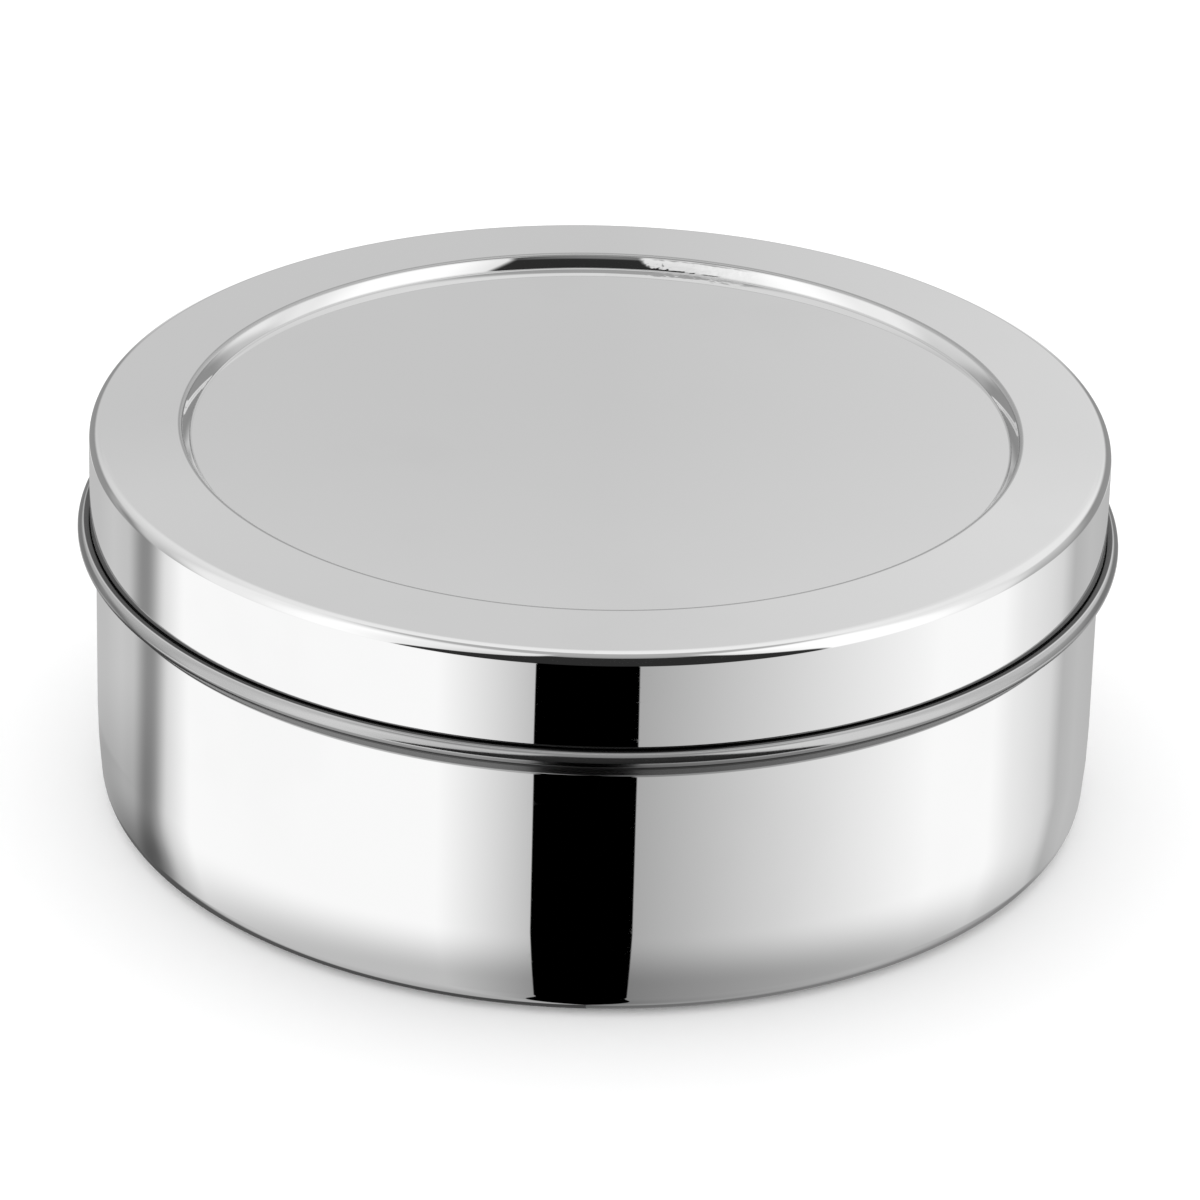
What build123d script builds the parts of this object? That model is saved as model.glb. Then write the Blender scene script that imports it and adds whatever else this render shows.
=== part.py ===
"""Masala dabba: a round stainless steel spice box for the kitchen.

A deep drawn box with a rolled ledge carries a push-on lid with a sunken top. Inside
stand seven small bowls (katoris), one in the middle and six around it. An inner lid with
a turned knob lies on their rims, and a small spoon lies on the inner lid.

Millimetres, +Z up, origin on the table under the centre of the box.
"""

from build123d import *
import math
import os

# ---------------------------------------------------------------- driving dimensions
LID_RADIUS = 100.0  # outside of the lid's skirt
TOTAL_HEIGHT = 78.0  # table to the highest ring of the lid, round its sunken middle
BOX_SHEET = 0.7  # box and lid sheet
INNER_SHEET = 0.6  # bowl and inner lid sheet
SLIDE_GAP = 0.5  # play between the lid's skirt and the box's neck
REST_GAP = 0.2  # play left between pieces that lie on each other

# box
BOX_RADIUS = LID_RADIUS - BOX_SHEET - SLIDE_GAP
BOX_EDGE = 5.0  # outside radius of the bottom edge
TUCK_HEIGHT = 11.5  # the wall is tucked in by a few degrees below this height
TUCK_ANGLE = 6.0
TUCK_ROUND = 130.0
PANEL_RADIUS = 88.0  # the base is pressed up inside this radius
PANEL_RISE = 0.8
LEDGE_LOW = 52.0  # where the ledge starts to flare out of the wall
LEDGE_REACH = 3.6  # how far the ledge stands out of the wall
LEDGE_CREST = 1.1  # radius of the ledge's rolled crest
LEDGE_DIP = 24.6  # degrees the ledge's upper face dips towards the neck
HEM_HEIGHT = 3.0  # the neck's top edge is folded inwards

# lid
SKIRT_LOW = 58.2
LID_EDGE = 2.4  # outside radius of the lid's edge
RIM_FALL = 0.5  # the lid's broad rim falls this much towards its edge
RECESS_RADIUS = 82.0
RECESS_RUN = 1.7  # how far the recess's wall leans inwards
RECESS_DEPTH = 2.6
RECESS_EDGE = 0.9

# bowls
BOWL_RIM = 31.0  # outside of the rolled rim
BOWL_RING = 64.0  # centres of the six outer bowls
BOWL_HEIGHT = 52.0
BOWL_TAPER = 2.0  # the wall leans in by this much from rim to base
BOWL_CORNER = 9.0
BOWL_ROLL = 1.2  # radius of the rolled rim
BOWL_PANEL = 14.0  # the bowl's base is pressed up inside this radius
BOWL_PANEL_RISE = 0.6
OUTER_BOWLS = 6

# inner lid and knob
INNER_LID_RADIUS = 96.2
INNER_LID_CURL = 2.4  # height of the turned-up edge
RIB_RADIUS = 82.0  # a pressed ring that stiffens the disc
RIB_WIDTH = 6.0
RIB_HEIGHT = 1.2
BOSS_RADIUS = 15.0  # the disc is raised under the knob
BOSS_RISE = 3.2
BOSS_RUN = 2.6  # how far the raised middle's wall leans
KNOB_HEIGHT = 12.0
KNOB_HEAD = 8.5
KNOB_NECK = 4.0
KNOB_FOOT = 5.8
SCREW_RADIUS = 2.0
SCREW_PLAY = 0.05  # radial play of the screw in its holes
SCREW_LENGTH = 7.4  # of the shank, under the head
SCREW_HEAD = 3.8
SCREW_HEAD_HEIGHT = 2.2
SCREW_SLOT = 0.9
KNOB_HOLE_DEPTH = 6.6
WASHER_RADIUS = 5.5
WASHER_THICKNESS = 0.8

# spoon
SPOON_LENGTH = 108.0
SPOON_SHEET = 1.0
SCOOP_RADIUS = 15.0  # outside of the scoop at its rim
SCOOP_DEPTH = 7.0
HANDLE_WIDTH = 9.0
HANDLE_NECK = 6.5
SPOON_OFFSET = -44.0  # the spoon lies this far in front of the knob
HANDLE_BEND = 240.0  # radius of the handle's long bend
HANDLE_PEAK = 57.0  # the bend is highest this far from the handle's end
HANDLE_REST = 0.3  # height of the handle's end above the scoop's lowest point

# heights that follow
FLOOR_TOP = PANEL_RISE + BOX_SHEET
BOWL_BASE = FLOOR_TOP + REST_GAP
BOWL_TOP = BOWL_BASE + BOWL_HEIGHT
INNER_LID_LOW = BOWL_TOP + REST_GAP
INNER_LID_TOP = INNER_LID_LOW + INNER_SHEET
SPOON_BASE = INNER_LID_TOP + REST_GAP
NECK_TOP = TOTAL_HEIGHT - RIM_FALL - BOX_SHEET - REST_GAP


def corner(before, at, after, radius):
    """Start, middle and end of the arc that rounds one corner of an outline."""
    into = (Vector(*at) - Vector(*before)).normalized()
    out = (Vector(*after) - Vector(*at)).normalized()
    turn = math.radians(into.get_angle(out))
    reach = radius * math.tan(turn / 2)
    sideways = (out - into).normalized()
    start = Vector(*at) - into * reach
    end = Vector(*at) + out * reach
    middle = Vector(*at) + sideways * radius * (1 / math.cos(turn / 2) - 1)
    return start, middle, end


def outline(points):
    """Flat face with rounded corners from (radius, height, rounding) points."""
    edges = []
    places = [p[:2] for p in points]
    count = len(points)
    pen = None
    first = None
    for i in range(count):
        at = Vector(*places[i])
        rounding = points[i][2] if len(points[i]) > 2 else 0
        start = end = at
        if rounding > 0:
            before = places[i - 1]
            after = places[(i + 1) % count]
            start, middle, end = corner(before, places[i], after, rounding)
        if pen is not None and (start - pen).length > 1e-6:
            edges.append(Line(pen, start))
        if rounding > 0:
            edges.append(ThreePointArc(start, middle, end))
        first = first or start
        pen = end
    if (first - pen).length > 1e-6:
        edges.append(Line(pen, first))
    return make_face(Curve() + edges)


def turned(points):
    """Solid of revolution from a closed outline of (radius, height, rounding)."""
    return revolve(Plane.XZ * outline(points), Axis.Z)


def pressed(points, thickness):
    """Sheet turned about the upright axis; the points run along its outer face.

    The inner face lies one thickness to the left of the way the points run, and its
    corners keep the same centres, so the sheet is equally thick round every bend.
    """
    inner = []
    count = len(points)
    for i in range(count):
        at = Vector(*points[i][:2])
        rounding = points[i][2] if len(points[i]) > 2 else 0
        ways = []
        if i > 0:
            ways.append((at - Vector(*points[i - 1][:2])).normalized())
        if i < count - 1:
            ways.append((Vector(*points[i + 1][:2]) - at).normalized())
        lefts = [Vector(-w.Y, w.X) for w in ways]
        lean = (lefts[0] + lefts[-1]).normalized()
        moved = at + lean * (thickness / lean.dot(lefts[0]))
        if rounding > 0:
            left_turn = ways[0].X * ways[-1].Y - ways[0].Y * ways[-1].X > 0
            rounding += -thickness if left_turn else thickness
        inner.append((moved.X, moved.Y, rounding))
    return turned(list(points) + inner[::-1])


# ---------------------------------------------------------------- the box
def make_box():
    """Deep drawn wall with a pressed-up base, a hollow rolled ledge and a hemmed neck."""
    reach = BOX_RADIUS + LEDGE_REACH
    low_turn = math.tan(math.radians(22.5)) * LEDGE_CREST
    high_turn = math.tan(math.radians((90 + LEDGE_DIP) / 2)) * LEDGE_CREST
    crest_low = LEDGE_LOW + LEDGE_REACH
    crest_high = crest_low + low_turn + high_turn
    shelf = crest_high - LEDGE_REACH * math.tan(math.radians(LEDGE_DIP))
    hem_low = NECK_TOP - HEM_HEIGHT
    tuck = TUCK_HEIGHT * math.tan(math.radians(TUCK_ANGLE))
    wall = [
        (0, PANEL_RISE),
        (PANEL_RADIUS, PANEL_RISE, 0.6),
        (PANEL_RADIUS + PANEL_RISE, 0, 1.2),
        (BOX_RADIUS - tuck, 0, BOX_EDGE),
        (BOX_RADIUS, TUCK_HEIGHT, TUCK_ROUND),
        (BOX_RADIUS, LEDGE_LOW, 0.8),
        (reach, crest_low, LEDGE_CREST),
        (reach, crest_high, LEDGE_CREST),
        (BOX_RADIUS, shelf, 0.3),
        (BOX_RADIUS, hem_low),
    ]
    hem = [
        (BOX_RADIUS, hem_low),
        (BOX_RADIUS, NECK_TOP, 0.65),
        (BOX_RADIUS - 2 * BOX_SHEET, NECK_TOP, 0.65),
        (BOX_RADIUS - 2 * BOX_SHEET, hem_low),
    ]
    return pressed(wall, BOX_SHEET) + turned(hem)


# ---------------------------------------------------------------- the lid
def make_lid():
    """Shallow cap: straight skirt, rounded edge, flat rim and a sunken middle."""
    return pressed(
        [
            (LID_RADIUS, SKIRT_LOW),
            (LID_RADIUS, TOTAL_HEIGHT - RIM_FALL, LID_EDGE),
            (RECESS_RADIUS, TOTAL_HEIGHT, RECESS_EDGE),
            (RECESS_RADIUS - RECESS_RUN, TOTAL_HEIGHT - RECESS_DEPTH, 0.4),
            (0, TOTAL_HEIGHT - RECESS_DEPTH),
        ],
        BOX_SHEET,
    )


# ---------------------------------------------------------------- the bowls
def make_bowl():
    """Spun bowl: pressed-up base, soft bottom corner, leaning wall, rolled rim."""
    wall_top = BOWL_RIM - 2 * BOWL_ROLL + INNER_SHEET
    roll_height = BOWL_HEIGHT - BOWL_ROLL
    wall = pressed(
        [
            (0, BOWL_PANEL_RISE),
            (BOWL_PANEL, BOWL_PANEL_RISE, 0.5),
            (BOWL_PANEL + BOWL_PANEL_RISE, 0, 0.9),
            (wall_top - BOWL_TAPER, 0, BOWL_CORNER),
            (wall_top, roll_height),
        ],
        INNER_SHEET,
    )
    roll = Pos(0, 0, roll_height) * Torus(BOWL_RIM - BOWL_ROLL, BOWL_ROLL)
    return wall + roll


# ---------------------------------------------------------------- inner lid and knob
def make_inner_lid():
    """Flat disc with a turned-up edge, a stiffening ring and a raised middle."""
    low = RIB_RADIUS - RIB_WIDTH / 2
    high = RIB_RADIUS + RIB_WIDTH / 2
    disc = pressed(
        [
            (SCREW_RADIUS + SCREW_PLAY, BOSS_RISE),
            (BOSS_RADIUS - BOSS_RUN, BOSS_RISE, 1.2),
            (BOSS_RADIUS, 0, 1.8),
            (low, 0, 1.4),
            (low + RIB_HEIGHT, RIB_HEIGHT, 0.8),
            (high - RIB_HEIGHT, RIB_HEIGHT, 0.8),
            (high, 0, 1.4),
            (INNER_LID_RADIUS, 0, 1.6),
            (INNER_LID_RADIUS, INNER_LID_CURL),
        ],
        INNER_SHEET,
    )
    return Pos(0, 0, INNER_LID_LOW) * disc


def make_knob(foot):
    """Turned knob: small foot, waist and a domed head, bored from below."""
    head_low = foot + KNOB_HEIGHT * 0.5
    top = foot + KNOB_HEIGHT
    blank = turned(
        [
            (0, foot),
            (KNOB_FOOT, foot, 0.5),
            (KNOB_FOOT, foot + 1.4, 0.6),
            (KNOB_NECK, foot + 3.0, 1.2),
            (KNOB_NECK, head_low - 0.6, 1.2),
            (KNOB_HEAD, head_low + 1.0, 1.2),
            (KNOB_HEAD, top - 2.0, 1.6),
            (KNOB_HEAD * 0.45, top, 3.0),
            (0, top),
        ]
    )
    bore = Cylinder(
        SCREW_RADIUS + SCREW_PLAY,
        KNOB_HOLE_DEPTH,
        align=(Align.CENTER, Align.CENTER, Align.MIN),
    )
    return blank - Pos(0, 0, foot) * bore


def make_washer(top):
    """Flat ring between the screw's head and the inner lid."""
    low = top - WASHER_THICKNESS
    hole = SCREW_RADIUS + SCREW_PLAY
    return turned(
        [
            (hole, low),
            (WASHER_RADIUS, low, 0.2),
            (WASHER_RADIUS, top, 0.2),
            (hole, top),
        ]
    )


def make_screw(seat):
    """Screw put in from below: pan head with a slot, plain shank."""
    low = seat - SCREW_HEAD_HEIGHT
    blank = turned(
        [
            (0, low),
            (SCREW_HEAD, low, 1.4),
            (SCREW_HEAD, seat, 0.2),
            (SCREW_RADIUS, seat),
            (SCREW_RADIUS, seat + SCREW_LENGTH, 0.5),
            (0, seat + SCREW_LENGTH),
        ]
    )
    slot = Box(3 * SCREW_HEAD, SCREW_SLOT, 2.0)
    return blank - Pos(0, 0, low) * slot


# ---------------------------------------------------------------- the spoon
def make_spoon():
    """Round scoop with a long bent handle, resting on its scoop and its handle's end."""
    globe = (SCOOP_RADIUS**2 + SCOOP_DEPTH**2) / (2 * SCOOP_DEPTH)
    tip = SPOON_LENGTH / 2
    middle = Pos(tip - SCOOP_RADIUS, SPOON_OFFSET, SPOON_BASE + globe)
    hollow = middle * Sphere(globe - SPOON_SHEET)
    above = Pos(0, 0, SPOON_BASE + SCOOP_DEPTH + globe) * Box(400, 400, 2 * globe)
    scoop = middle * Sphere(globe) - hollow - above

    peak = HANDLE_REST + HANDLE_BEND - math.sqrt(HANDLE_BEND**2 - HANDLE_PEAK**2)
    axis = Pos(-tip + HANDLE_PEAK, SPOON_OFFSET, SPOON_BASE + peak - HANDLE_BEND)
    band = Cylinder(HANDLE_BEND + SPOON_SHEET, 2 * HANDLE_WIDTH)
    band -= Cylinder(HANDLE_BEND, 2 * HANDLE_WIDTH)
    band = axis * Rot(90, 0, 0) * band
    root = tip - 2 * SCOOP_RADIUS + SPOON_SHEET
    half = HANDLE_WIDTH / 2
    neck = HANDLE_NECK / 2
    strip = make_face(
        Curve()
        + [
            ThreePointArc((-tip + half, half), (-tip, 0), (-tip + half, -half)),
            Line((-tip + half, -half), (root, -neck)),
            Line((root, -neck), (root, neck)),
            Line((root, neck), (-tip + half, half)),
        ]
    )
    blade = extrude(Pos(0, SPOON_OFFSET, SPOON_BASE) * strip, 20)
    handle = (band & blade) - hollow
    return scoop + handle


# ---------------------------------------------------------------- put together
def main():
    bowl = make_bowl()
    boss_low = INNER_LID_LOW + BOSS_RISE
    parts = {
        "box_body": make_box(),
        "lid": make_lid(),
        "centre_bowl": Pos(0, 0, BOWL_BASE) * bowl,
        "inner_lid": make_inner_lid(),
        "inner_lid_knob": make_knob(boss_low + INNER_SHEET),
        "knob_washer": make_washer(boss_low),
        "knob_screw": make_screw(boss_low - WASHER_THICKNESS),
        "spoon": make_spoon(),
    }
    for k in range(OUTER_BOWLS):
        turn = math.radians(k * 360 / OUTER_BOWLS)
        place = Pos(BOWL_RING * math.cos(turn), BOWL_RING * math.sin(turn), BOWL_BASE)
        parts[f"bowl_{k + 1}"] = place * bowl

    os.makedirs("parts", exist_ok=True)
    for name, shape in parts.items():
        solids = shape.solids()
        bounds = shape.bounding_box()
        export_step(shape, f"parts/{name}.step")
        print(name, len(solids), round(shape.volume, 1), bounds.min, bounds.max)


main()
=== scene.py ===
# %% [markdown]
# # A steel spice box
#
# A masala dabba is a round box of stainless steel sheet. Seven small bowls stand in it, an
# inner lid lies on their rims, a spoon lies on the inner lid, and a push-on lid closes it.
# Nearly every piece is spun or pressed from a disc of sheet, so nearly every piece is one
# outline turned about an upright axis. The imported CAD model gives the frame: where each
# piece is, and what it moves with. This script gives the pieces their true thin edges,
# folds and rolls, and the polish.

import math
from typing import NamedTuple

import bpy
import numpy as np
from mathutils import Matrix, Vector


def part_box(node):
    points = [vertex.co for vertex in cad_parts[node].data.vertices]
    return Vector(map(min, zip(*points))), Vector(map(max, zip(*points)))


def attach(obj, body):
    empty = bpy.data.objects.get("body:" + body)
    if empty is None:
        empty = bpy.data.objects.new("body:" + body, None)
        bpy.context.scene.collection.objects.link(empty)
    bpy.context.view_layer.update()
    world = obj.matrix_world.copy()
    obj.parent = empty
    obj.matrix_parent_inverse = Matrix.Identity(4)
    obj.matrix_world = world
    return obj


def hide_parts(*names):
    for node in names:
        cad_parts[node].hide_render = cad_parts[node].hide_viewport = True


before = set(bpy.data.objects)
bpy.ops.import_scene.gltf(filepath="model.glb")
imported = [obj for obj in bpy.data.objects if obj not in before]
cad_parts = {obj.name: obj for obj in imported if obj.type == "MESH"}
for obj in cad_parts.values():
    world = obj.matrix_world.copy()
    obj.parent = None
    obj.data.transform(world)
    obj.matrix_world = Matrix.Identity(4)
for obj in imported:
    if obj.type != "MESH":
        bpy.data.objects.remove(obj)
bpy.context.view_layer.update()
MM = 0.001  # the shapes below are worked out in millimetres


def span(node):
    """Lowest and highest corner of a CAD node, in millimetres."""
    low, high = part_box(node)
    return np.array(low) / MM, np.array(high) / MM


print("lid spans", [np.round(corner, 2).tolist() for corner in span("lid")])


# %% [markdown]
# ## The camera
#
# The box is seen from the front and from above, with a long lens, so that its circles
# stay nearly true ellipses. The camera is placed by the angle it looks down at and its
# distance, and it leans by a degree and a half, as a hand-levelled tripod does.

# %% Camera
LOOK_DOWN = math.radians(26.466)
LEAN = math.radians(1.525)
DISTANCE = 1.350
LOOK_AT = Vector((0.000734, 0.0, 0.03904))

back = Vector((0.0, -math.cos(LOOK_DOWN), math.sin(LOOK_DOWN)))
level = Vector((1.0, 0.0, 0.0))
upright = back.cross(level)
side = level * math.cos(LEAN) + upright * math.sin(LEAN)
above = upright * math.cos(LEAN) - level * math.sin(LEAN)

lens = bpy.data.cameras.new("camera")
lens.lens = 204.25
lens.sensor_width = 36.0
lens.clip_start = 0.05
camera = bpy.data.objects.new("camera", lens)
camera.matrix_world = Matrix.Translation(LOOK_AT + back * DISTANCE) @ Matrix(
    (side, above, back)
).transposed().to_4x4()
bpy.context.scene.collection.objects.link(camera)
bpy.context.scene.camera = camera
print("camera at", [round(v, 4) for v in camera.location])


# %% [markdown]
# ## Shader sums written as sums
#
# A finish is mostly arithmetic on a few patterns. Adding Math nodes by hand hides that, so
# a small class wraps a socket: `1 - worn * 0.3` adds the nodes and gives the next socket.

# %% Sockets that can be added and multiplied
class Wire:
    """One output socket of a node tree, with the operators that a finish needs."""

    def __init__(self, tree, socket=None):
        self.tree = tree
        self.socket = socket

    def node(self, kind, settings=None, inputs=None, output=0):
        """Adds a node: its settings first, then the values or links of its sockets."""
        made = self.tree.nodes.new(kind)
        for name, value in (settings or {}).items():
            if name == "stops":
                self.set_stops(made.color_ramp, value)
            else:
                setattr(made, name, value)
        for name, value in (inputs or {}).items():
            if isinstance(value, Wire):
                self.tree.links.new(value.socket, made.inputs[name])
            else:
                made.inputs[name].default_value = value
        return Wire(self.tree, made.outputs[output] if len(made.outputs) else None)

    @staticmethod
    def set_stops(ramp, stops):
        """Fills a colour ramp from (place, brightness) pairs."""
        while len(ramp.elements) < len(stops):
            ramp.elements.new(1.0)
        for element, (place, brightness) in zip(ramp.elements, stops):
            element.position = place
            element.color = (brightness, brightness, brightness, 1.0)

    def math(self, operation, *values):
        """A Math node on this tree, with numbers or wires as its values."""
        return self.node("ShaderNodeMath", {"operation": operation}, dict(enumerate(values)))

    def __add__(self, other):
        return self.math("ADD", self, other)

    def __radd__(self, other):
        return self.math("ADD", other, self)

    def __sub__(self, other):
        return self.math("SUBTRACT", self, other)

    def __rsub__(self, other):
        return self.math("SUBTRACT", other, self)

    def __mul__(self, other):
        return self.math("MULTIPLY", self, other)

    def __rmul__(self, other):
        return self.math("MULTIPLY", other, self)

    def __truediv__(self, other):
        return self.math("DIVIDE", self, other)

    def step(self, low, high):
        """Goes smoothly from 0 at low to 1 at high."""
        inputs = {"Value": self, "From Min": low, "From Max": high}
        return self.node("ShaderNodeMapRange", {"interpolation_type": "SMOOTHSTEP"}, inputs)

    def toward(self, other, share):
        """This value mixed with another: share 0 keeps it, share 1 is the other."""
        return self + (other - self) * share


# %% [markdown]
# ## Patterns that follow a spun piece
#
# Polished steel is a mirror, so what the eye reads as its finish is how it bends and blurs
# the room. Three things do that on spun sheet. Fine rings are left by the polishing wheel
# as the piece turns. The sheet itself is never quite true, so reflections swim a little.
# And use leaves hairline scratches that cross the rings, with faint dull patches where
# hands have been. An image could hold all this, but noise needs no file and never repeats.
# The patterns follow the piece: u goes once round its axis and v runs along its outline in
# tenths of a metre, so that one finish fits every turned piece.

# %% Patterns
def turned_place(wire, ring_pitch, arc_pitch):
    """Coordinates that run round and along a turned piece, for patterns of rings.

    The angle 2 pi u is laid out as a circle (cos, sin), so a pattern meets itself where
    the piece closes. Pitches are in millimetres: small across the rings, long along them.
    """
    uv = wire.node("ShaderNodeUVMap", {"uv_map": "turned"})
    parts = wire.node("ShaderNodeSeparateXYZ", inputs={0: uv})
    along = Wire(wire.tree, parts.socket.node.outputs["Y"])
    angle = parts * math.tau
    circle = 60.0 / arc_pitch  # for a piece of about 60 mm radius
    inputs = {
        "X": wire.math("COSINE", angle) * circle,
        "Y": wire.math("SINE", angle) * circle,
        "Z": along * (100.0 / ring_pitch),
    }
    return wire.node("ShaderNodeCombineXYZ", inputs=inputs)


def noise(wire, place, scale, detail=2.0, rough=0.5):
    """Soft noise from 0 to 1."""
    inputs = {"Vector": place, "Scale": scale, "Detail": detail, "Roughness": rough}
    return wire.node("ShaderNodeTexNoise", {"noise_dimensions": "3D"}, inputs)


def stretched(wire, place, turn, scale):
    """Object coordinates turned and squeezed, so that noise on them draws hairlines."""
    inputs = {"Vector": place, "Rotation": turn, "Scale": scale}
    return wire.node("ShaderNodeMapping", {"vector_type": "POINT"}, inputs)


def hairlines(wire, place):
    """1 on fine scratches that run two ways: the peaks of two stretched noises."""
    one_way = stretched(wire, place, (0.3, 0.9, 0.6), (1.0, 0.05, 1.0))
    other_way = stretched(wire, place, (1.1, -0.4, 2.0), (0.06, 1.0, 1.0))
    hair = noise(wire, one_way, 1400.0, 1.0).step(0.66, 0.74)
    return hair + noise(wire, other_way, 1100.0, 1.0).step(0.68, 0.76)


def band(value, low, high, soft):
    """1 between low and high, and 0 outside, with soft ends; all in millimetres."""
    rises = value.step((low - soft) * MM, (low + soft) * MM)
    return rises * (1 - value.step((high - soft) * MM, (high + soft) * MM))


def mixed(wire, share, first, second):
    """Two colours mixed: share 0 gives the first, share 1 the second."""
    inputs = {"Factor": share, "A": first, "B": second}
    return wire.node("ShaderNodeMix", {"data_type": "RGBA"}, inputs, output=2)


def grey(brightness):
    """A grey as a colour socket wants it."""
    return (brightness, brightness, brightness, 1.0)


# %% [markdown]
# ## One steel finish, with its numbers left open
#
# Every finish here is the same sheet at another stage of polish, so one function makes
# them all. Heights go through a Bump node, because rings a fraction of a micrometre high
# can't be modelled and still bend a reflection. Two marks are added where they are asked
# for: painted shade, rings where the colour is darkened nearly to black and made rougher to
# stand in for the shade in creases and under overhangs, and a drag, where the press tool
# stuck and left the sheet rippled.

# %% Steel
class PaintedShade(NamedTuple):
    """A ring of painted shade, for a crease or an overhang: its radii, heights and darkness."""

    inner: float
    outer: float
    low: float
    high: float
    darkness: float


class Drag(NamedTuple):
    """A rippled place: its centre, its reach, the heights it keeps to and its size."""

    centre: tuple
    reach: float
    low: float
    high: float
    size: float


SHADE_SOFT = 0.15  # millimetres over which painted shade fades out
PAINTED_SHADE_GREY = 0.03  # brightness that painted shade darkens the colour to


def steel(name, tone, blur, rings, swim, scratches, smudges=0.5, painted_shades=(), drag=None):
    """A stainless finish: tone is its brightness, blur its least roughness.

    rings, swim and scratches are heights in micrometres of the wheel's rings, the slow
    waves of the sheet and the hairlines; smudges is how dull the handled patches are.
    Height is rings + waves - hairlines, and roughness is blur plus a share of each mask.
    """
    material = bpy.data.materials.new(name)
    material.use_nodes = True
    tree = material.node_tree
    tree.nodes.clear()
    wire = Wire(tree)
    place = wire.node("ShaderNodeTexCoord", output=3)

    ring = noise(wire, turned_place(wire, 0.55, 45.0), 1.0, 3.0, 0.6)
    fine = noise(wire, turned_place(wire, 0.3, 30.0), 1.0, 2.0, 0.7)
    wave = noise(wire, place, 38.0, 1.0)
    patches = noise(wire, place, 21.0, 3.0, 0.6).step(0.52, 0.72)
    hair = hairlines(wire, place)

    spread = wire.node("ShaderNodeSeparateXYZ", inputs={0: place}).socket.node.outputs
    x, y, z = (Wire(tree, socket) for socket in spread)
    radius = wire.math("SQRT", x * x + y * y)
    height = ring * rings + wave * swim - hair * scratches
    if drag:
        inputs = {0: place, 1: tuple(v * MM for v in drag.centre)}
        off = wire.node("ShaderNodeVectorMath", {"operation": "DISTANCE"}, inputs, output=1)
        ripple = noise(wire, turned_place(wire, 1.4, 2.2), 1.0, 2.0, 0.6)
        near = 1 - off.step(drag.reach * 0.5 * MM, drag.reach * MM)
        height = height + ripple * near * band(z, drag.low, drag.high, 0.2) * drag.size
    # Painted shade: each band darkens the colour towards near-black in a crease or under an
    # overhang, where shade falls, and makes it a little rougher.
    painted_shade = 0.0
    for shade_band in painted_shades:
        corner = band(radius, shade_band.inner, shade_band.outer, SHADE_SOFT)
        corner = corner * band(z, shade_band.low, shade_band.high, SHADE_SOFT)
        painted_shade = painted_shade + corner * shade_band.darkness

    roughness = blur + fine * (blur * 0.5) + patches * (smudges * 0.05) + hair * 0.03
    colour = mixed(wire, patches * 0.6 + wave * 0.4, grey(tone), grey(tone * 0.975))
    bump = {"Height": height, "Strength": 1.0, "Distance": 1e-6}
    # The base colour is mixed towards the painted shade grey by the painted shade mask.
    inputs = {
        "Base Color": mixed(wire, painted_shade, colour, grey(PAINTED_SHADE_GREY)),
        "Metallic": 1.0,
        "Roughness": roughness + painted_shade * 0.25,
        "Normal": wire.node("ShaderNodeBump", inputs=bump),
    }
    surface = wire.node("ShaderNodeBsdfPrincipled", inputs=inputs)
    wire.node("ShaderNodeOutputMaterial", inputs={"Surface": surface})
    return material


# %% [markdown]
# ## The finishes of this box
#
# The box and its lid are polished to a mirror outside. The bowls and the inner lid are only
# brightened, so their rings show. Fasteners are left as they come. Painted shade darkens the
# colour where the ledge and the lid sit in shade: under the ledge, on the shelf above it, on
# its crest, along the skirt's cut edge, and in the two bends of the lid's sunken middle.

# %% Finishes
# These rings are painted shade: the steel's colour is darkened there to stand in for the shade
# under and on the ledge, along the lid's cut edge and in its bends.
under_ledge = PaintedShade(inner=98.7, outer=103.0, low=52.2, high=55.5, darkness=0.78)
on_shelf = PaintedShade(inner=98.45, outer=101.2, low=56.2, high=59.2, darkness=0.93)
ledge_crest = PaintedShade(inner=101.35, outer=103.5, low=53.9, high=59.8, darkness=0.42)
recess_foot = PaintedShade(inner=80.0, outer=80.6, low=75.1, high=75.7, darkness=0.25)
recess_edge = PaintedShade(inner=81.75, outer=82.65, low=77.4, high=78.3, darkness=0.45)
skirt_edge = PaintedShade(inner=99.2, outer=100.2, low=57.9, high=58.4, darkness=0.75)
tool_drag = Drag(centre=(20.0, 78.5, 76.5), reach=14.0, low=75.7, high=77.5, size=110.0)

mirror = {"tone": 0.81, "blur": 0.012, "rings": 0.04, "swim": 5.0, "scratches": 0.02}
box_steel = steel("box_steel", **mirror, smudges=0.2, painted_shades=[under_ledge, on_shelf, ledge_crest])
lid_painted_shades = [recess_foot, recess_edge, skirt_edge]
lid_steel = steel("lid_steel", **mirror, smudges=0.2, painted_shades=lid_painted_shades, drag=tool_drag)
bowl_steel = steel("bowl_steel", tone=0.79, blur=0.08, rings=0.5, swim=4.0, scratches=0.2)
inner_lid_steel = steel(
    "inner_lid_steel", tone=0.78, blur=0.11, rings=0.9, swim=6.0, scratches=0.25
)
turned_steel = steel("turned_steel", tone=0.80, blur=0.06, rings=0.5, swim=0.0, scratches=0.1)
spoon_steel = steel("spoon_steel", tone=0.79, blur=0.07, rings=0.0, swim=1.5, scratches=0.3)
fastener_steel = steel(
    "fastener_steel", tone=0.66, blur=0.22, rings=0.0, swim=0.0, scratches=0.3
)
print("finishes:", ", ".join(m.name for m in bpy.data.materials if m.users == 0))


# %% [markdown]
# ## Outlines with rounded corners
#
# A pressed sheet has no sharp corners: each bend is an arc. An outline is therefore given
# as corners, each with its radius, height and rounding, and every corner is swapped for the
# arc that touches both of its sides. On a mirror a normal that is off by half a degree
# shows, so the true normal of each point is worked out with it, and not from the facets.

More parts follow.
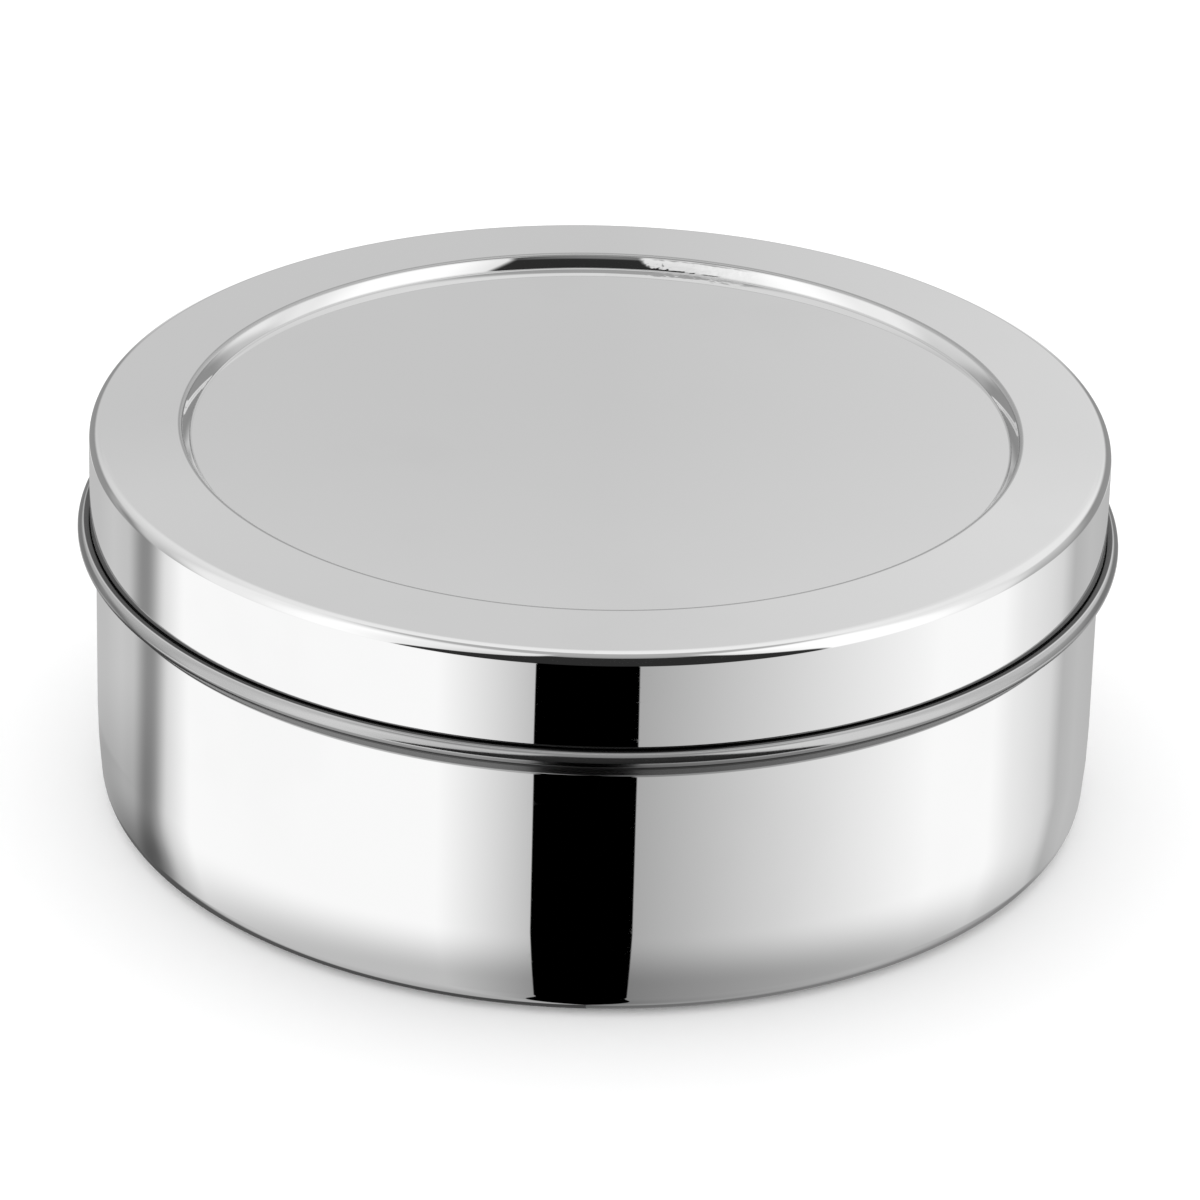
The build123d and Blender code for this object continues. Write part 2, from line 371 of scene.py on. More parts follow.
# %% Outlines
def traced(corners, closed=False, arc_step=5.0, longest=7.0):
    """Points and outward normals of an outline through (radius, height, rounding) corners.

    A corner that turns by a is rounded by an arc of radius q, which starts q tan(a/2)
    before it; the arc's points are its centre plus the first spoke turned by 0 to a.
    Straight runs are cut so that no piece is longer than longest. The piece's metal lies
    to the left of the way the corners run, so a normal is the run's direction turned
    right by a quarter.
    """
    corners = np.array([tuple(c) + (0.0,) * (3 - len(c)) for c in corners], float)
    place, rounding = corners[:, :2], corners[:, 2]
    out = np.roll(place, -1, axis=0) - place
    if not closed:
        out[-1] = out[-2]
    out /= np.linalg.norm(out, axis=1, keepdims=True)
    into = np.roll(out, 1, axis=0)
    if not closed:
        into[0] = out[0]
    turn = np.arctan2(
        into[:, 0] * out[:, 1] - into[:, 1] * out[:, 0], (into * out).sum(axis=1)
    )
    reach = rounding * np.tan(np.abs(turn) / 2)
    start = place - into * reach[:, None]
    left = np.stack([-into[:, 1], into[:, 0]], axis=1)
    centre = start + left * (rounding * np.sign(turn))[:, None]

    points, ways = [], []
    for k in range(len(corners)):
        count = 1
        if rounding[k] > 0:
            count = 2 + int(abs(math.degrees(turn[k])) / arc_step)
        angle = np.linspace(0.0, turn[k], count) if count > 1 else np.zeros(1)
        cosine, sine = np.cos(angle), np.sin(angle)
        spoke = start[k] - centre[k]
        points.append(centre[k] + turn_left(spoke, cosine, sine))
        ways.append(turn_left(into[k] if rounding[k] > 0 else out[k], cosine, sine))
    points, ways = np.concatenate(points), np.concatenate(ways)
    if closed:
        points, ways = np.vstack([points, points[:1]]), np.vstack([ways, ways[:1]])

    gaps = np.linalg.norm(np.diff(points, axis=0), axis=1)
    keep = np.concatenate([[True], gaps > 1e-7])
    points, ways, gaps = points[keep], ways[keep], gaps[gaps > 1e-7]
    cuts = np.maximum(1, np.ceil(gaps / longest).astype(int))
    mark = np.concatenate([[0.0], np.cumsum(cuts)])
    spread = np.arange(int(mark[-1]) + 1)
    points = np.stack([np.interp(spread, mark, points[:, i]) for i in range(2)], axis=1)
    ways = np.stack([np.interp(spread, mark, ways[:, i]) for i in range(2)], axis=1)
    return points, np.stack([ways[:, 1], -ways[:, 0]], axis=1)


def turn_left(vector, cosine, sine):
    """A flat vector turned left by angles that are given as cosines and sines."""
    x = vector[0] * cosine - vector[1] * sine
    y = vector[0] * sine + vector[1] * cosine
    return np.stack([x, y], axis=1)


def other_face(corners, thickness):
    """The corners of a sheet's second face, one thickness to the left of the first.

    Each corner moves along the line that halves its two sides' left normals, and its
    rounding shrinks or grows by the thickness, so both arcs keep one centre.
    """
    corners = np.array([tuple(c) + (0.0,) * (3 - len(c)) for c in corners], float)
    way = np.diff(corners[:, :2], axis=0)
    way /= np.linalg.norm(way, axis=1, keepdims=True)
    left = np.stack([-way[:, 1], way[:, 0]], axis=1)
    before = np.vstack([left[:1], left])
    after = np.vstack([left, left[-1:]])
    lean = before + after
    lean /= np.linalg.norm(lean, axis=1, keepdims=True)
    moved = corners[:, :2] + lean * (thickness / (lean * before).sum(axis=1))[:, None]
    bends_left = before[:, 0] * after[:, 1] - before[:, 1] * after[:, 0] > 0
    rounding = np.where(bends_left, -thickness, thickness) + corners[:, 2]
    rounding = np.where(corners[:, 2] > 0, np.maximum(rounding, 0.02), 0.0)
    return [tuple(row) for row in np.column_stack([moved, rounding])]


# %% [markdown]
# ## Arrays into meshes
#
# A mesh can be built point by point, but a spun bowl has tens of thousands of faces, so
# whole arrays go in at once with foreach_set. The normals that were worked out with the
# outline go in too, as custom normals. Each piece then hides the CAD node it stands for and
# is attached to the right body, so that it moves with it.

# %% Meshes
def shell(name, vertices, quads, uv, facing=None):
    """A mesh object from quads, some of which may have two corners in one place."""
    single = quads != np.roll(quads, 1, axis=1)
    sides = single.sum(axis=1)
    quads, uv, single, sides = (a[sides > 2] for a in (quads, uv, single, sides))
    mesh = bpy.data.meshes.new(name)
    mesh.vertices.add(len(vertices))
    mesh.vertices.foreach_set("co", vertices.astype(np.float32).ravel())
    mesh.loops.add(int(sides.sum()))
    mesh.loops.foreach_set("vertex_index", quads[single].astype(np.int32))
    mesh.polygons.add(len(sides))
    starts = np.concatenate([[0], np.cumsum(sides)[:-1]])
    mesh.polygons.foreach_set("loop_start", starts.astype(np.int32))
    mesh.update(calc_edges=True)
    layer = mesh.uv_layers.new(name="turned")
    layer.data.foreach_set("uv", uv[single].astype(np.float32).ravel())
    mesh.shade_smooth()
    if facing is not None:
        facing = facing / np.linalg.norm(facing, axis=1, keepdims=True)
        mesh.normals_split_custom_set_from_vertices(facing.tolist())
    mesh.validate()
    piece = bpy.data.objects.new(name, mesh)
    bpy.context.scene.collection.objects.link(piece)
    return piece


def finish_piece(piece, node, body, material):
    """Gives a piece its finish and its body, and hides the CAD node that it stands for."""
    piece.data.materials.append(material)
    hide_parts(node)
    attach(piece, body)
    faces = len(piece.data.polygons)
    print(f"{piece.name}: {faces} faces, {len(piece.data.vertices)} points")
    return piece


# %% [markdown]
# ## Turning an outline into a piece
#
# The surface is P(s, t) = (r(s) cos t, r(s) sin t, z(s)), with s along the outline and t
# round the axis. A Screw modifier could turn it too, but it would lose the true normals.
# The whole grid is worked out at once. Where the outline meets the axis the ring shrinks to
# one point, so it gets a single pole and a fan of triangles, and the last ring is joined to
# the first, which leaves no seam.

# %% Turned pieces
AROUND = 240  # steps round a large piece: each sags by 0.01 mm at the lid's edge
SMALL_AROUND = 144  # steps round a bowl or a knob


def turned(name, outline, centre=(0.0, 0.0), around=AROUND):
    """A mesh object of an outline, points and normals, turned about an upright axis.

    A row is one ring of points: radius times (cos t, sin t), at the row's height. A quad
    joins two neighbours of a row to the same two of the next, and u is t over a full turn.
    """
    points, normals = outline
    angle = np.arange(around) * (math.tau / around)
    cosine, sine = np.cos(angle), np.sin(angle)
    radius, height = points[:, 0], points[:, 1]
    meets = bool(np.linalg.norm(points[0] - points[-1]) < 1e-6)
    if meets:
        radius, height, normals = radius[:-1], height[:-1], normals[:-1]
    on_axis = radius < 1e-6
    rows = np.where(on_axis, 1, around)
    first = np.concatenate([[0], np.cumsum(rows)[:-1]])

    def rings(outward, upward, middle=(0.0, 0.0)):
        """Values along the outline carried round the axis."""
        x = outward[:, None] * cosine + middle[0]
        y = outward[:, None] * sine + middle[1]
        return np.stack([x, y, np.repeat(upward[:, None], around, axis=1)], axis=2)

    def corner(row, step):
        """Index of a ring's point; a pole has only one."""
        return first[row] + np.where(on_axis[row], 0, step)

    grid = rings(radius, height, centre)
    facing = rings(normals[:, 0], normals[:, 1])
    facing[on_axis, :, :2] = 0.0
    used = (~on_axis[:, None]) | (np.arange(around) == 0)

    row = np.arange(len(radius) if meets else len(radius) - 1)
    below, above_it = row[:, None], ((row + 1) % len(radius))[:, None]
    here = np.arange(around)[None, :]
    there = (here + 1) % around
    lower = [corner(below, here), corner(below, there)]
    upper = [corner(above_it, there), corner(above_it, here)]
    quads = np.stack(lower + upper, axis=2).reshape(-1, 4)

    steps = np.linalg.norm(np.diff(points, axis=0), axis=1)
    length = np.concatenate([[0.0], np.cumsum(steps)]) / 100.0
    u_here = np.broadcast_to(here / around, (len(row), around))
    u_there = u_here + 1.0 / around
    v_low = np.broadcast_to(length[row][:, None], u_here.shape)
    v_high = np.broadcast_to(length[row + 1][:, None], u_here.shape)
    uv = np.stack([u_here, v_low, u_there, v_low, u_there, v_high, u_here, v_high], axis=2)
    return shell(name, grid[used] * MM, quads, uv.reshape(-1, 4, 2), facing[used])


# %% [markdown]
# ## The box
#
# The box is drawn from one disc of 0.7 mm sheet. Its base is pressed up a little, so that
# it stands on a ring and not on its middle. The lower wall is tucked in by a few degrees,
# which is what makes a reflection bend towards the bottom. Under the lid the sheet is
# folded out into a hollow ledge and back, which stiffens it, and the neck ends in a hem.
# Only the outer face is given: the inner one is the same outline moved by the thickness. A
# Solidify modifier could add the thickness too, but the true normals would be lost.

# %% Box body
SHEET = 0.7
low, high = span("box_body")
ledge_radius, neck_top = high[0], high[2]
ledge_low, ledge_reach = 52.0, 3.6  # where the ledge leaves the wall, and how far it goes
ledge_dip, crest = math.radians(24.6), 1.75  # its upper face dips inwards; its roll's radius
wall = ledge_radius - ledge_reach
crest_low = ledge_low + (ledge_radius - wall)
crest_high = crest_low + crest * (
    math.tan(math.pi / 8) + math.tan((math.pi / 2 + ledge_dip) / 2)
)
shelf = crest_high - (ledge_radius - wall) * math.tan(ledge_dip)
tuck_height, tuck_angle = 11.5, math.radians(6.0)
panel, panel_rise = 88.0, 0.8  # the base is pressed up inside this radius
hem_low = neck_top - 3.0
hem_radius = wall - 2 * SHEET

outside = [
    (0.0, low[2] + panel_rise),
    (panel, low[2] + panel_rise, 0.6),
    (panel + panel_rise, low[2], 1.2),
    (wall - tuck_height * math.tan(tuck_angle), low[2], 5.0),
    (wall, tuck_height, 130.0),
    (wall, ledge_low, 0.8),
    (ledge_radius, crest_low, crest),
    (ledge_radius, crest_high, crest),
    (wall, shelf, 0.3),
    (wall, hem_low),
]
hem = [
    (wall, neck_top, 0.65),
    (hem_radius, neck_top, 0.65),
    (hem_radius, hem_low, 0.25),
    (wall - SHEET, hem_low, 0.15),
]
inside = other_face(outside, SHEET)[:-1][::-1]
box_body = turned("box_body_steel", traced(outside[:-1] + hem + inside))
finish_piece(box_body, "box_body", "box", box_steel)


# %% [markdown]
# ## The lid
#
# The lid is a shallow cap of the same sheet. Its middle is pressed down, which keeps the
# top stiff and lets boxes stack. The broad rim round the sunken middle falls very slightly
# towards the edge, as sheet does when it is pulled over the edge's radius.

# %% Lid
low, high = span("lid")
lid_radius, lid_top = high[0], 78.0
rim_fall, edge_radius = 0.5, 2.4
recess_radius, recess_depth, recess_run = 82.0, 2.6, 1.7
bow_run, bow_depth, bow_radius = 1.05, 1.4, 12.0  # the sunken middle's wall is bowed here
lid_face = [
    (lid_radius, low[2]),
    (lid_radius, lid_top - rim_fall, edge_radius),
    (recess_radius, lid_top, 0.9),
    (recess_radius - bow_run, lid_top - bow_depth, bow_radius),
    (recess_radius - recess_run, lid_top - recess_depth, 0.5),
    (0.0, lid_top - recess_depth),
]
under = other_face(lid_face, SHEET)[::-1]
cut_edge = [(under[-1][0], low[2], 0.25), (lid_radius, low[2], 0.25)]
lid = turned("lid_steel", traced(under[:-1] + cut_edge + lid_face[1:]))
finish_piece(lid, "lid", "lid", lid_steel)


# %% [markdown]
# ## The seven bowls
#
# Each bowl (a katori) is spun from 0.6 mm sheet. Its rim is a real roll: the sheet turns
# outwards and down until its cut edge is tucked against the wall, and that leaves the fine
# dark line under the rim. A solid ring would lack it. The bowls are the same outline at
# seven centres, taken from the frame.

# %% Bowls
BOWL_SHEET = 0.6
BOWL_ROLL = 1.2  # outside radius of the rolled rim
low, high = span("centre_bowl")
rim = (high[0] - low[0]) / 2
base, top = low[2], high[2]
hollow = BOWL_ROLL - BOWL_SHEET  # radius inside the roll
bowl_wall = rim - 2 * BOWL_ROLL + BOWL_SHEET
roll_low = top - 2 * BOWL_ROLL + BOWL_SHEET
bowl_taper, bowl_corner = 2.0, 9.0
bowl_panel, bowl_panel_rise = 14.0, 0.6
bowl_outside = [
    (0.0, base + bowl_panel_rise),
    (bowl_panel, base + bowl_panel_rise, 0.5),
    (bowl_panel + bowl_panel_rise, base, 0.9),
    (bowl_wall - bowl_taper, base, bowl_corner),
    (bowl_wall, top - BOWL_SHEET, hollow),
    (rim - BOWL_SHEET, top - BOWL_SHEET, hollow),
    (rim - BOWL_SHEET, roll_low, hollow),
    (bowl_wall + 0.15, roll_low),
]
bowl_inside = other_face(bowl_outside, BOWL_SHEET)
tucked = [bowl_outside[-1] + (0.2,), bowl_inside[-1][:2] + (0.2,)]
bowl_outline = traced(bowl_outside[:-1] + tucked + bowl_inside[:-1][::-1])

bowl_nodes = sorted(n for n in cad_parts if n.startswith("bowl_")) + ["centre_bowl"]
for node in bowl_nodes:
    low, high = span(node)
    middle = (low + high) / 2
    bowl = turned(f"{node}_steel", bowl_outline, centre=middle[:2], around=SMALL_AROUND)
    finish_piece(bowl, node, node, bowl_steel)


# %% [markdown]
# ## The inner lid
#
# The inner lid keeps the spices from moving between the bowls. It is a flat disc with a
# pressed ring, a raised middle and an edge turned up so that it doesn't cut. Its outline
# is closed, since the disc has an eye for the screw, so it turns into a ring of metal.

# %% Inner lid
low, high = span("inner_lid")
disc_low, disc_edge, disc_curl = low[2], high[0], 2.4
hole = 2.05  # radius of the eye for the screw
boss, boss_rise, boss_run = 15.0, 3.2, 2.6
ring_inner, ring_outer, ring_rise = 79.0, 85.0, 1.2
disc_face = [
    (hole, disc_low + boss_rise),
    (boss - boss_run, disc_low + boss_rise, 1.2),
    (boss, disc_low, 1.8),
    (ring_inner, disc_low, 1.4),
    (ring_inner + ring_rise, disc_low + ring_rise, 0.8),
    (ring_outer - ring_rise, disc_low + ring_rise, 0.8),
    (ring_outer, disc_low, 1.4),
    (disc_edge, disc_low, 1.6),
    (disc_edge, disc_low + disc_curl),
]
disc_top = other_face(disc_face, BOWL_SHEET)
ends = [disc_face[-1] + (0.28,), disc_top[-1][:2] + (0.28,)]
eye = [disc_top[0][:2] + (0.15,), disc_face[0] + (0.15,)]
disc_loop = disc_face[1:-1] + ends + disc_top[1:-1][::-1] + eye
disc = turned("inner_lid_steel", traced(disc_loop, closed=True))
finish_piece(disc, "inner_lid", "inner_lid", inner_lid_steel)


# %% [markdown]
# ## The knob
#
# The knob is turned from bar and drilled from below for the screw, and three fine grooves
# are cut round its head for grip. They could be a bump in the finish, but they show at the
# head's outline, so they are cut into the shape.

# %% Knob
low, high = span("inner_lid_knob")
foot, crown, head = low[2], high[2], high[0]
bore_depth, foot_radius, neck_radius = 6.6, 5.8, 4.0
grip_low, groove_depth, groove_width, groove_pitch = foot + 8.0, 0.35, 0.45, 0.81
grip = []
for k in range(3):
    groove = grip_low + k * groove_pitch
    grip += [
        (head, groove, 0.1),
        (head - groove_depth, groove + groove_width / 2, 0.1),
        (head, groove + groove_width, 0.1),
    ]
stem = [
    (0.0, foot + bore_depth),
    (hole, foot + bore_depth, 0.1),
    (hole, foot, 0.2),
    (foot_radius, foot, 0.4),
    (foot_radius, foot + 1.4, 0.6),
    (neck_radius, foot + 3.0, 1.2),
    (neck_radius, foot + 5.4, 1.2),
    (head, foot + 7.0, 0.7),
]
dome = [(head, crown - 1.6, 1.4), (head * 0.45, crown, 3.0), (0.0, crown)]
knob = turned("knob_steel", traced(stem + grip + dome, arc_step=8.0), around=SMALL_AROUND)
finish_piece(knob, "inner_lid_knob", "inner_lid", turned_steel)


# %% [markdown]
# ## The spoon, seen from above
#
# The spoon is cut from flat sheet and then pressed, so it starts as a plan: a round scoop,
# a neck filleted into it, and a handle that widens to a round end. Each row across the
# spoon is a place along it and a half width, and rows stand closer where the plan turns.

# %% Spoon plan
low, high = span("spoon")
spoon_base, spoon_y = low[2], (low[1] + high[1]) / 2
scoop_reach = (high[1] - low[1]) / 2
scoop_x = high[0] - scoop_reach
scoop_radius = scoop_reach - 0.1
end_radius, neck_half, neck_fillet = 4.5, 3.25, 5.0
end_x = low[0] + end_radius

spokes = scoop_radius + neck_fillet, neck_half + neck_fillet
fillet_x = scoop_x - math.sqrt(spokes[0] ** 2 - spokes[1] ** 2)
meeting = math.atan2(spokes[1], scoop_x - fillet_x)
quarter = np.linspace(0.0, math.pi / 2, 15)
turn_in = np.linspace(0.0, math.pi / 2 - meeting, 12)
sweep = np.linspace(meeting, math.pi, 56)[1:]
handle_x = np.linspace(end_x, fillet_x, 50)[1:-1]
along_spoon = [
    end_x - end_radius * np.cos(quarter),
    handle_x,
    fillet_x + neck_fillet * np.sin(turn_in),
    scoop_x - scoop_radius * np.cos(sweep),
]
half_width = [
    end_radius * np.sin(quarter),
    np.interp(handle_x, [end_x, fillet_x], [end_radius, neck_half]),
    neck_half + neck_fillet * (1 - np.cos(turn_in)),
    scoop_radius * np.sin(sweep),
]
row_x, row_half = np.concatenate(along_spoon), np.concatenate(half_width)
across = np.sin(np.linspace(-math.pi / 2, math.pi / 2, 33))
print(f"spoon: {len(row_x)} rows, {row_x[-1] - row_x[0]:.1f} mm long")


# %% [markdown]
# ## The spoon's height
#
# The press gives the flat sheet its height. It is the lower of two surfaces, a ball's
# inside for the scoop and a long bend for the handle. A plain minimum would leave a crease
# at the neck, so a soft one is used: near the meeting it mixes the two and takes off a
# little, which rounds the neck as a press does.

# %% Spoon height
half_sheet = 0.5
scoop_depth = 7.0
ball = (scoop_reach**2 + scoop_depth**2) / (2 * scoop_depth)
bend_radius, peak_run, end_rest = 240.0, 57.0, 0.3
bend, peak_x = bend_radius + half_sheet, low[0] + peak_run
peak = end_rest + bend_radius - math.sqrt(bend_radius**2 - peak_run**2)
HOLLOW = 0.012  # how fast the handle rises towards its long edges
SOFT = 0.8  # millimetres over which the scoop and the handle run into each other


def spoon_height(x, y):
    """Height of the middle of the sheet: the soft minimum of the ball and the bend."""
    away = np.hypot(x - scoop_x, y)
    inner = ball - half_sheet
    scoop = ball - np.sqrt(np.maximum(inner**2 - away**2, 1.0))
    handle = peak - bend_radius + np.sqrt(bend**2 - (x - peak_x) ** 2) + HOLLOW * y**2
    mix = np.clip(0.5 + (scoop - handle) / (2 * SOFT), 0.0, 1.0)
    return scoop + (handle - scoop) * mix - SOFT * mix * (1 - mix)


x = np.repeat(row_x[:, None], len(across), axis=1)
y = row_half[:, None] * across[None, :]
z = spoon_height(x, y)
nudge = 0.01
slope_x = (spoon_height(x + nudge, y) - spoon_height(x - nudge, y)) / (2 * nudge)
slope_y = (spoon_height(x, y + nudge) - spoon_height(x, y - nudge)) / (2 * nudge)
upward = np.stack([-slope_x, -slope_y, np.ones_like(x)], axis=2)
upward /= np.linalg.norm(upward, axis=2, keepdims=True)
print(f"spoon: from {z.min():.2f} to {z.max():.2f} mm high")


# %% [markdown]
# ## The spoon's sheet
#
# A Solidify modifier would leave a sharp, square edge. Instead each point moves up and down
# by half the thickness, and that falls to nothing at the edge along a quarter circle,
# h sqrt(1 - (1 - e / h)^2) at a distance e from the edge, which rounds the edge all the way
# round and closes the mesh. Rows become rings, over the top and back under it.

# %% Spoon
edge = np.minimum(row_half[:, None] - np.abs(y), np.minimum(x - row_x[0], row_x[-1] - x))
edge = np.where(x > scoop_x, scoop_radius - np.hypot(x - scoop_x, y), edge)
edge = np.where(x < end_x, end_radius - np.hypot(x - end_x, y), edge)
share = 1 - np.clip(edge, 0.0, half_sheet) / half_sheet
thick = half_sheet * np.sqrt(np.clip(1 - share**2, 0.0, 1.0))
middle = np.stack([x, y + spoon_y, z + spoon_base], axis=2)
faces_up = middle + upward * thick[:, :, None]
faces_down = middle - upward * thick[:, :, None]

ring = np.concatenate([faces_up, faces_down[:, -2:0:-1]], axis=1)
index = np.arange(ring.shape[0] * ring.shape[1]).reshape(ring.shape[:2])
index[0, :], index[-1, :] = index[0, 0], index[-1, 0]


def joined(grid):
    """The four corners of every face between one ring and the next."""
    turned_on = np.roll(grid, -1, axis=1)
    return np.stack([grid[:-1], grid[1:], turned_on[1:], turned_on[:-1]], axis=2)


from_above = np.stack([np.broadcast_to(row_x[:, None], index.shape), ring[:, :, 1]], axis=2)
uv = joined(from_above / 100.0).reshape(-1, 4, 2)
used, quads = np.unique(joined(index).reshape(-1, 4), return_inverse=True)
points = ring.reshape(-1, 3)[used] * MM
spoon = shell("spoon_steel", points, quads.reshape(-1, 4), uv)
finish_piece(spoon, "spoon", "spoon", spoon_steel)


# %% [markdown]
# ## Screw and washer
#
# The screw and washer under the inner lid are small and their CAD shapes are right, so
# they stay as they are and only get the dull finish of plain hardware.

# %% Hardware
for node in ("knob_screw", "knob_washer"):
    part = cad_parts[node]
    part.data.materials.clear()
    part.data.materials.append(fastener_steel)
    print(node, "keeps its CAD shape")


# %% [markdown]
# ## The studio, by direction
#
# A mirror shows the room, so the room is the other half of the finish. The box stands in a
# light tent. Lamps and cards could build it, but a mirror only asks one thing of a
# direction: how bright is it there? So the tent is drawn by bearing and elevation in the
# world's shader. Bearing is counted in degrees from the front, with the right positive.
# Each panel is a soft-edged patch, laid over the ones before it.

# %% Directions
world = bpy.data.worlds.new("tent")
bpy.context.scene.world = world
world.use_nodes = True
world.node_tree.nodes.clear()
air = Wire(world.node_tree)
direction = air.node("ShaderNodeTexCoord", output=0)
parts = air.node("ShaderNodeSeparateXYZ", inputs={0: direction}).socket.node.outputs
to_right, to_back, to_top = (Wire(world.node_tree, s) for s in parts)
bearing = air.math("ARCTAN2", to_right, 0 - to_back) * (180 / math.pi)
sideways = air.math("ABSOLUTE", bearing)  # the same on both sides
elevation = air.math("ARCSINE", to_top) * (180 / math.pi)


def patch(value, left, right, soft, low, high, fade, brightness):
    """Lays a soft-edged patch over value, between two bearings and two elevations."""
    inside = bearing.step(left - soft, left + soft)
    inside = inside * (1 - bearing.step(right - soft, right + soft))
    inside = inside * elevation.step(low - fade, low + fade)
    inside = inside * (1 - elevation.step(high - fade, high + fade))
    return value.toward(brightness, inside)


# %% [markdown]
# ## The table
#
# The wall of a box on a white table mostly reflects the table, since the eye looks down on
# it. The table is bright at the sides, where the lamps are, and darker in front and behind.
# Close to the box's foot it is darker again, because the box itself shades it.

# %% Table light
TABLE_LIGHT = [  # (bearing, brightness)
    (-180, 0.50), (-153, 0.58), (-140, 0.66), (-121, 0.60), (-106, 1.17), (-35, 1.17),
    (-12, 0.62), (10, 0.48), (84, 1.17), (104, 1.17), (112, 1.0), (129, 0.80),
    (136, 0.54), (147, 0.58), (180, 0.45),
]
WHITEST = 1.25
table = air.node(
    "ShaderNodeValToRGB",
    {"stops": [((b + 180) / 360, v / WHITEST) for b, v in TABLE_LIGHT]},
    {"Fac": (bearing + 180) / 360},
)
near_foot = 0.47 + 0.08 * bearing.step(0, 90)
near_foot = near_foot * (1 - elevation.step(-39.5, -29.5))
under_foot = 0.14 * (1 - elevation.step(-80, -45))
table = table * WHITEST * (1 - near_foot - under_foot)
print(f"table: {len(TABLE_LIGHT)} bearings, up to {max(v for _, v in TABLE_LIGHT)}")


# %% [markdown]
# ## Walls, ceiling and backdrop
#
# The walls get brighter upwards, with a big lit panel on each side and a duller ceiling over
# the front. Flat tops reflect what is behind them, and that is a grey backdrop. Below it
# runs a white sweep with a dark seam, which draws the fine lines in the lid's sunken middle.

# %% Walls
walls = 0.56 + 0.45 * elevation.step(-35, 75)
walls = walls + (0.16 * elevation.step(-5, 50) - 0.12) * bearing.step(95, 125)
walls = walls.toward(0.5, elevation.step(56, 68) * (1 - sideways.step(80, 115)))
walls = patch(walls, -98, -31, 8, -24, 54, 5, 1.04)
walls = patch(walls, -72, -48, 10, -24, 50, 8, WHITEST)
walls = patch(walls, 33, 102, 7, -24, 60, 3, 1.00)
walls = patch(walls, 42, 84, 9, -24, 60, 6, WHITEST)
walls = patch(walls, 104, 164, 8, 17, 44, 5, 1.0)

rightward = air.math("MINIMUM", air.math("MAXIMUM", to_right, 0.0), 0.1)
backdrop = 0.68 + 1.4 * rightward + 0.055 * elevation.step(24.5, 27)
walls = walls.toward(backdrop, sideways.step(140, 166) * (1 - elevation.step(36, 60)))
sweep_edge = 164 + 0.5 * elevation
white_sweep = sideways.step(sweep_edge - 5, sweep_edge + 5) * (1 - elevation.step(8, 16))
walls = walls.toward(WHITEST, white_sweep * (1 - 0.6 * sideways.step(171, 177)))
seam = elevation.step(8, 13) * (1 - elevation.step(15, 19)) * sideways.step(166, 173)
walls = walls.toward(0.38, seam)


# %% [markdown]
# ## The opening and the dark corners
#
# A tent needs a hole to look in by. It is dark, so polished steel shows it as a crisp black
# stripe with light on either side, and that stripe is what makes the steel read as a mirror.
# The opening narrows upwards and goes on downwards as a slit in the table's cover. The tent
# also has a joint at the left, where the table's cover ends, and two dim back corners.

# %% Opening and corners
rise = elevation.step(-30, 50)
opening_left, opening_right = -45 + 32 * rise, 52 - 21 * rise
walls = patch(walls, opening_left, opening_right, 2, -24, 66, 10, 0.40)
walls = patch(walls, opening_left, opening_right, 2, -24, 50, 3, 0.03)
glow = table.toward(walls, elevation.step(-25, -22))

joint = -121 - 12 * (1 - elevation.step(-36, -24))
glow = patch(glow, joint - 5, joint + 5, 4.5, -37, 6, 12, 0.30)
left_foot = 0.4 * (1 - elevation.step(-28.2, -27)) + 0.6 * (1 - elevation.step(-33, -28.5))
glow = glow * (1 - 0.70 * left_foot * (1 - bearing.step(-127, -114)))
corners = sideways.step(118, 134) * (1 - sideways.step(163, 174))
corners = corners * elevation.step(-24, -20) * (1 - elevation.step(8, 18))
glow = glow.toward(0.33, corners)

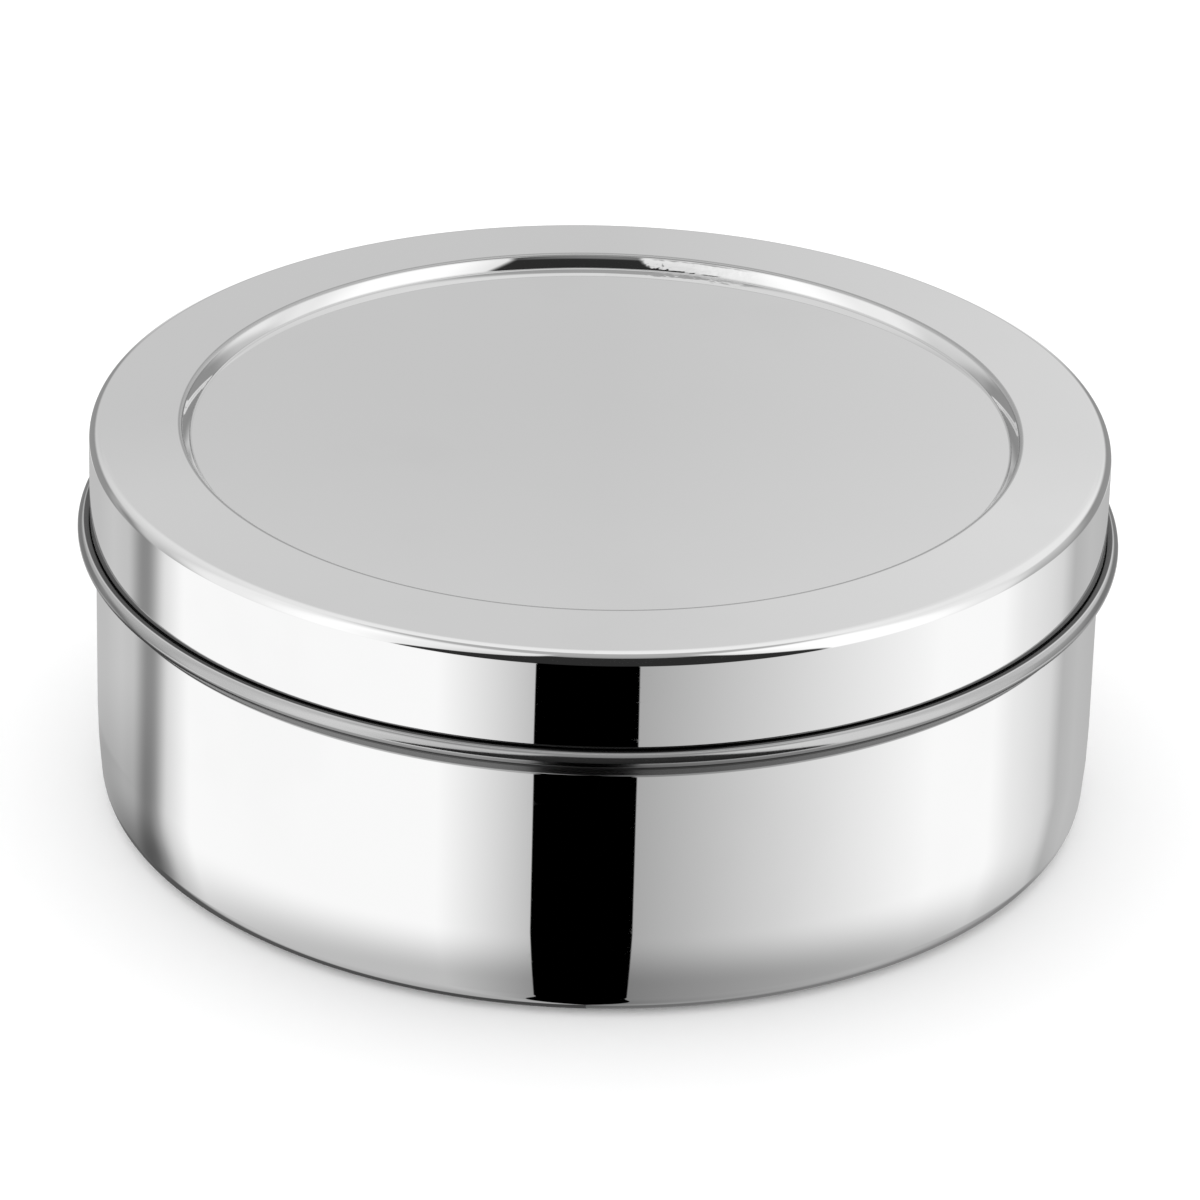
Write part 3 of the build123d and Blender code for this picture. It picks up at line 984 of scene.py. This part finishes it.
steep = 1 - elevation.step(-80, -45)  # the slit gets wider right under the box
lower = 1 - elevation.step(-28, -25.5)
slit_left = -12.5 - 14 * steep - 0.5 * lower
slit_right = 9.8 + 9 * steep + 0.4 * lower
glow = patch(glow, slit_left, slit_right, 0.15, -95, -20, 2, 0.0)


# %% [markdown]
# ## One light for mirrors and one for the rest
#
# The drawn tent is only for reflections. The matt table would pick up its stripes as uneven
# light, so every ray that isn't a reflection gets a plain white sky. A Light Path node tells
# the two kinds of ray apart.

# %% Light
PLAIN = 1.3
rays = air.node("ShaderNodeLightPath").socket.node.outputs
glossy = Wire(world.node_tree, rays["Is Glossy Ray"])
strength = PLAIN + (glow - PLAIN) * glossy
light = air.node("ShaderNodeBackground", inputs={"Color": grey(1.0), "Strength": strength})
air.node("ShaderNodeOutputWorld", inputs={"Surface": light})
print("tent:", len(world.node_tree.nodes), "nodes")


# %% [markdown]
# ## The floor
#
# The table itself is a wide disc of white paper. It is matt and nearly white, so it takes
# the light from all sides and shows only a soft shade round the box. Steel mustn't reflect
# it, because the tent already has a table drawn in, so it is hidden from glossy rays.

# %% Floor
FLOOR_RADIUS, FLOOR_SIDES = 12.0, 128
angle = np.arange(FLOOR_SIDES) * (math.tau / FLOOR_SIDES)
rim_points = np.stack(
    [FLOOR_RADIUS * np.cos(angle), FLOOR_RADIUS * np.sin(angle), np.zeros(FLOOR_SIDES)],
    axis=1,
)
mesh = bpy.data.meshes.new("floor")
mesh.from_pydata(rim_points.tolist(), [], [list(range(FLOOR_SIDES))])
floor = bpy.data.objects.new("floor", mesh)
bpy.context.scene.collection.objects.link(floor)
floor.visible_glossy = False

paper = bpy.data.materials.new("white_paper")
paper.use_nodes = True
paper.node_tree.nodes.clear()
fibres = Wire(paper.node_tree)
matt = fibres.node("ShaderNodeBsdfDiffuse", inputs={"Color": grey(0.95)})
fibres.node("ShaderNodeOutputMaterial", inputs={"Surface": matt})
floor.data.materials.append(paper)

bpy.context.scene.view_settings.view_transform = "Standard"
bpy.context.scene.view_settings.look = "None"
print(f"floor: {2 * FLOOR_RADIUS:.0f} m across")
